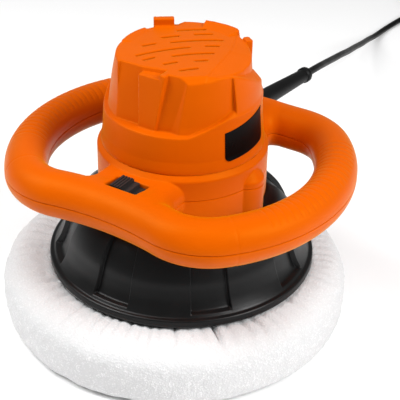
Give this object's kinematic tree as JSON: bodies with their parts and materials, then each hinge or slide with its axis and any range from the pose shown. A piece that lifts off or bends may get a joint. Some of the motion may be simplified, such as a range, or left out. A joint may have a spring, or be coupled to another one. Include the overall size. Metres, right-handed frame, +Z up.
{
  "type": "orbital car polisher",
  "caption": "Orbital polisher with a vented motor cover, ring handle, slide switch, bell skirt and a gathered fabric bonnet on a round foam pad.",
  "frame": {"origin": "on the motor axis, at the flat face of the pad that the machine rests on", "axes": "+Z up along the motor axis, -Y to the front where the switch is, +Y to the back where the cord leaves"},
  "size_m": [0.2617, 0.8797, 0.219],
  "materials": {
    "bearing_steel": "ground",
    "black_plastic": "satin",
    "capacitor_case": "dipped resin",
    "carbon": "pressed carbon",
    "cast_alloy": "as cast",
    "contact_brass": "plain",
    "copper_winding": "lacquered wire",
    "cord_rubber": "smooth",
    "core_steel": "stacked sheet",
    "counterweight_iron": "as cast",
    "elastic_band": "woven elastic",
    "foam": "open cell foam",
    "label_film": "smooth",
    "lead_sleeve": "smooth",
    "orange_plastic": "fine satin texture",
    "switch_plastic": "fine texture",
    "terry": "looped terry",
    "tie_plastic": "twisted tie",
    "zinc_steel": "zinc plated"
  },
  "bodies": {
    "housing": {"lower_housing": "orange_plastic", "upper_housing": "orange_plastic", "motor_cover": "orange_plastic", "label_plate": "label_film", "skirt": "black_plastic", "housing_screws": "zinc_steel", "cover_screws": "zinc_steel", "skirt_screws": "zinc_steel", "frame_screws": "zinc_steel", "switch_body": "black_plastic", "switch_terminals": "contact_brass", "suppression_capacitor": "capacitor_case", "inner_leads": "lead_sleeve", "cord_clamp": "black_plastic", "clamp_screws": "zinc_steel", "inner_cord": "cord_rubber", "strain_relief": "cord_rubber", "power_cord": "cord_rubber", "cord_coil": "cord_rubber", "coil_tie": "tie_plastic", "plug_lead": "cord_rubber", "plug_body": "black_plastic", "plug_pins": "contact_brass", "motor_frame": "cast_alloy", "lower_bearing": "bearing_steel", "field_stack": "core_steel", "field_coils": "copper_winding", "upper_bracket": "black_plastic", "upper_bearing": "bearing_steel", "motor_screws": "zinc_steel", "brush_holders": "contact_brass", "carbon_brushes": "carbon", "brush_springs": "zinc_steel"},
    "switch": {"switch_slider": "switch_plastic"},
    "rotor": {"rotor_shaft": "bearing_steel", "armature_core": "core_steel", "armature_winding": "copper_winding", "commutator": "copper_winding", "cooling_fan": "black_plastic", "eccentric_hub": "counterweight_iron", "counterweight": "counterweight_iron", "hub_screw": "zinc_steel", "pad_washer": "zinc_steel", "pad_bolt": "zinc_steel"},
    "pad": {"pad_bearing": "bearing_steel", "bearing_retainer": "zinc_steel", "retainer_screws": "zinc_steel", "backing_plate": "black_plastic", "foam_pad": "foam", "bonnet": "terry", "bonnet_elastic": "elastic_band"}
  },
  "joints": [
    {"name": "switch_slide", "type": "slide", "parent": "housing", "child": "switch", "axis": [1, 0, 0], "range_m": [0, 0.006]},
    {"name": "rotor_spin", "type": "hinge", "parent": "housing", "child": "rotor", "pos_m": [0, 0, 0.1], "axis": [0, 0, 1], "continuous": true},
    {"name": "pad_spin", "type": "hinge", "parent": "rotor", "child": "pad", "pos_m": [-0.00424, -0.00265, 0.05], "axis": [0, 0, 1], "continuous": true}
  ]
}
